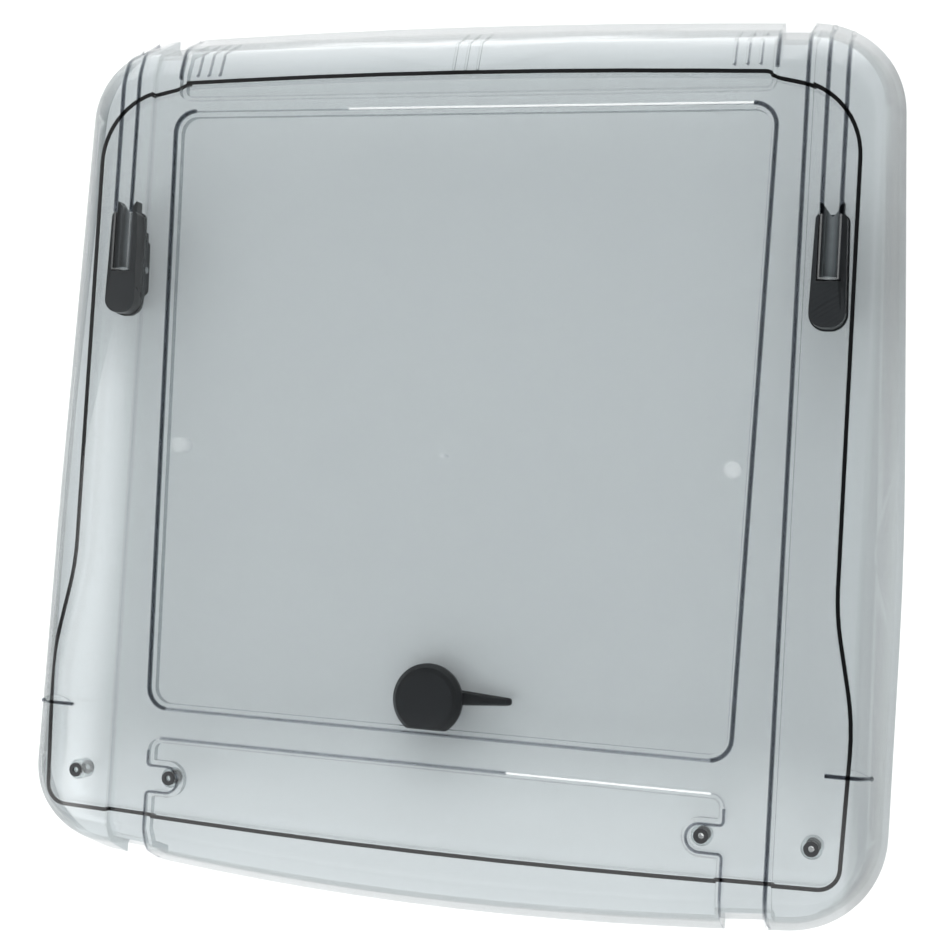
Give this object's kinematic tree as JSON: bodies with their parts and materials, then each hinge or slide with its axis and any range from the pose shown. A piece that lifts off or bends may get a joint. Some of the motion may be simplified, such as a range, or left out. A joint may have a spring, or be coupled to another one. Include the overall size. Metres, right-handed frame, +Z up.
{
  "type": "caravan roof-light hood",
  "caption": "Double-skinned smoked acrylic roof-light hood with sunk channel, hinge-side stay brackets with catch slides and a rotary latch",
  "frame": {"origin": "Midway across the hood on the plane of the rim's lower edge, at the centre of the bounding box", "axes": "+Z up out of the roof, +Y towards the hinge side, +X to the right seen from above with the hinge side away"},
  "size_m": [0.521, 0.5226, 0.0303],
  "materials": {
    "smoked_acrylic": "clear gloss, lightly smoked",
    "clear_acrylic": "clear gloss",
    "bonding_compound": "satin",
    "black_rubber": "matte",
    "clear_silicone": "translucent satin",
    "black_plastic": "fine moulded grain",
    "glossy_plastic": "moulded gloss",
    "brass": "turned",
    "zinc_steel": "zinc plated",
    "spring_steel": "bright"
  },
  "bodies": {
    "hood": {"outer_shell": "smoked_acrylic", "inner_pane": "clear_acrylic", "bond_bead": "bonding_compound", "front_bushes": "black_rubber", "bush_spacers": "clear_silicone", "bush_washers": "black_rubber", "spacer_pads": "clear_silicone", "centre_stud": "clear_silicone", "latch_pad": "bonding_compound", "latch_base": "black_plastic", "latch_insert": "brass", "latch_washer": "spring_steel", "latch_screw": "zinc_steel", "bracket_housing_right": "black_plastic", "bracket_pad_right": "bonding_compound", "bracket_gasket_right": "black_rubber", "pivot_pin_right": "zinc_steel", "bracket_housing_left": "black_plastic", "bracket_pad_left": "bonding_compound", "bracket_gasket_left": "black_rubber", "pivot_pin_left": "zinc_steel"},
    "latch": {"latch_lever": "black_plastic", "latch_knob": "black_plastic"},
    "catch_right": {"catch_slide_right": "glossy_plastic"},
    "catch_left": {"catch_slide_left": "glossy_plastic"}
  },
  "joints": [
    {"name": "latch_turn", "type": "hinge", "parent": "hood", "child": "latch", "pos_m": [-0.0047, -0.14, 0.008], "axis": [0, 0, 1], "range_deg": [-90, 0]},
    {"name": "catch_right_slide", "type": "slide", "parent": "hood", "child": "catch_right", "axis": [0, -1, 0], "range_m": [0, 0.02]},
    {"name": "catch_left_slide", "type": "slide", "parent": "hood", "child": "catch_left", "axis": [0, -1, 0], "range_m": [0, 0.02]}
  ]
}
